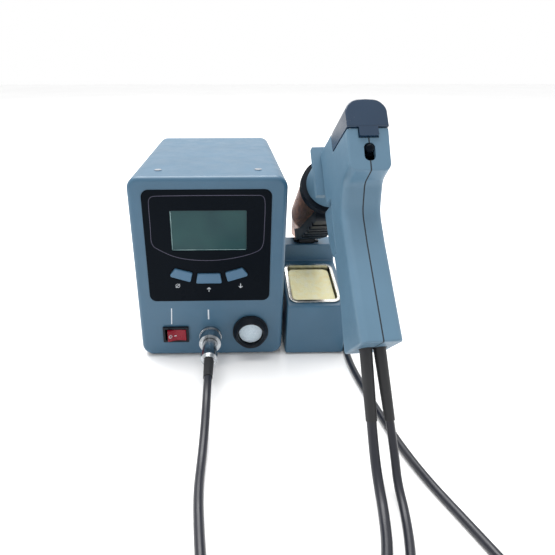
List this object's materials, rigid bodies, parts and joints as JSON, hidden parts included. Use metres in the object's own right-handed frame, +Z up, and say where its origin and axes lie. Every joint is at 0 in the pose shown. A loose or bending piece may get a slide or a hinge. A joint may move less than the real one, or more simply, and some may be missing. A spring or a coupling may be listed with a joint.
{
  "type": "desoldering station",
  "caption": "Bench desoldering station with a display, mains rocker and plug socket, a gun stand with a sponge tray, and a pistol-grip vacuum gun on its leads.",
  "frame": {"origin": "centre of the bounding box of the object without its leads, at table level under the rubber feet", "axes": "+X to the user's right, +Y away from the user to the back of the unit, +Z up"},
  "size_m": [0.2125, 0.4858, 0.2032],
  "materials": {
    "enclosure": "fine satin texture",
    "gun_plastic": "fine satin texture",
    "panel_black": "gloss",
    "lcd_glass": "clear",
    "lcd_frame": "matte",
    "circuit_board": "satin",
    "key_plastic": "satin",
    "black_plastic": "satin",
    "rocker_red": "gloss",
    "plated_metal": "bright plated",
    "felt": "dense felt",
    "copper_wire": "enamelled",
    "core_steel": "lacquered",
    "pump_metal": "cast",
    "rubber_black": "matte",
    "weight_steel": "painted",
    "tray_metal": "bright",
    "sponge": "cellulose sponge",
    "horn_metal": "bright, tinted by heat",
    "cover_plastic": "gloss",
    "chamber_glass": "clear",
    "seal_rubber": "matte",
    "tube_steel": "satin",
    "heater_ceramic": "matte",
    "trigger_plastic": "satin",
    "lead_rubber": "satin"
  },
  "bodies": {
    "station": {"station_cover": "enclosure", "base_plate": "black_plastic", "rear_panel": "black_plastic", "display_panel": "panel_black", "lcd_window": "lcd_glass", "lcd_module": "lcd_frame", "control_board": "circuit_board", "rocker_bezel": "black_plastic", "connector_socket": "plated_metal", "socket_nut": "plated_metal", "plug_body": "plated_metal", "plug_boot": "rubber_black", "vacuum_port": "black_plastic", "filter_disc": "felt", "transformer_core": "core_steel", "transformer_coil": "copper_wire", "pump_head": "pump_metal", "pump_motor": "core_steel", "mains_inlet": "black_plastic", "inlet_pins": "plated_metal", "hose_fitting": "plated_metal", "case_screws": "core_steel", "rubber_feet": "rubber_black", "stand_base": "enclosure", "stand_weight": "weight_steel", "holder_ring": "black_plastic", "holder_horn": "horn_metal", "holder_bracket": "black_plastic", "gun_cable_front": "lead_rubber", "gun_cable_back": "lead_rubber", "gun_cable_coil": "lead_rubber", "vacuum_hose_gun": "lead_rubber", "vacuum_hose_rear": "lead_rubber", "vacuum_hose_coil": "lead_rubber"},
    "gun": {"gun_shell_left": "gun_plastic", "gun_shell_right": "gun_plastic", "cover_hinge_pin": "tube_steel", "glass_tube": "chamber_glass", "tube_seals": "seal_rubber", "solder_baffle": "tube_steel", "nose_collar": "gun_plastic", "barrel_tube": "tube_steel", "heater_core": "heater_ceramic", "nozzle": "tube_steel", "trigger_switch": "black_plastic", "cable_boot": "rubber_black", "hose_boot": "rubber_black", "gun_screws": "core_steel"},
    "gun_cover_body": {"gun_cover": "cover_plastic"},
    "latch_body": {"cover_latch": "panel_black"},
    "trigger_body": {"trigger": "trigger_plastic"},
    "rocker_body": {"rocker": "rocker_red"},
    "unit_key_body": {"button_unit": "key_plastic"},
    "up_key_body": {"button_up": "key_plastic"},
    "down_key_body": {"button_down": "key_plastic"},
    "filter_cap_body": {"vacuum_cap": "black_plastic"},
    "plug_ring_body": {"plug_ring": "plated_metal"},
    "eccentric_body": {"pump_eccentric": "pump_metal"},
    "tray_body": {"sponge_tray": "tray_metal"},
    "sponge_body": {"sponge": "sponge"}
  },
  "joints": [
    {"name": "gun_lift_off", "type": "slide", "parent": "station", "child": "gun", "axis": [0.0692, -0.7914, 0.6074], "range_m": [0, 0.12]},
    {"name": "gun_cover_hinge", "type": "hinge", "parent": "gun", "child": "gun_cover_body", "pos_m": [0.06506, -0.05951, 0.18354], "axis": [-0.9962, -0.0872, 0], "range_deg": [0, 78]},
    {"name": "cover_latch_slide", "type": "slide", "parent": "gun", "child": "latch_body", "axis": [0.0529, -0.6051, -0.7944], "range_m": [0, 0.003], "stiffness_N_per_m": 400, "springref_m": -0.002},
    {"name": "trigger_pull", "type": "slide", "parent": "gun", "child": "trigger_body", "axis": [0.0692, -0.7914, 0.6074], "range_m": [0, 0.005], "stiffness_N_per_m": 500, "springref_m": -0.002},
    {"name": "mains_rocker", "type": "hinge", "parent": "station", "child": "rocker_body", "pos_m": [-0.05642, -0.03656, 0.022], "axis": [0, 0, 1], "range_deg": [-18, 0]},
    {"name": "unit_key_press", "type": "slide", "parent": "station", "child": "unit_key_body", "axis": [0, 1, 0], "range_m": [0, 0.001], "stiffness_N_per_m": 900, "springref_m": -0.0004},
    {"name": "up_key_press", "type": "slide", "parent": "station", "child": "up_key_body", "axis": [0, 1, 0], "range_m": [0, 0.001], "stiffness_N_per_m": 900, "springref_m": -0.0004},
    {"name": "down_key_press", "type": "slide", "parent": "station", "child": "down_key_body", "axis": [0, 1, 0], "range_m": [0, 0.001], "stiffness_N_per_m": 900, "springref_m": -0.0004},
    {"name": "filter_cap_turn", "type": "hinge", "parent": "station", "child": "filter_cap_body", "pos_m": [0.00408, -0.04376, 0.024], "axis": [0, 1, 0], "range_deg": [0, 90]},
    {"name": "plug_ring_turn", "type": "hinge", "parent": "station", "child": "plug_ring_body", "pos_m": [-0.02852, -0.04776, 0.02], "axis": [0, 1, 0], "range_deg": [0, 270]},
    {"name": "pump_shaft_spin", "type": "hinge", "parent": "station", "child": "eccentric_body", "pos_m": [0.00208, 0.08324, 0.024], "axis": [0, 1, 0], "continuous": true},
    {"name": "sponge_tray_lift", "type": "slide", "parent": "station", "child": "tray_body", "axis": [0, -0.2169, 0.9762], "range_m": [0, 0.02]},
    {"name": "sponge_lift", "type": "slide", "parent": "tray_body", "child": "sponge_body", "axis": [0, -0.2169, 0.9762], "range_m": [0, 0.012]}
  ]
}
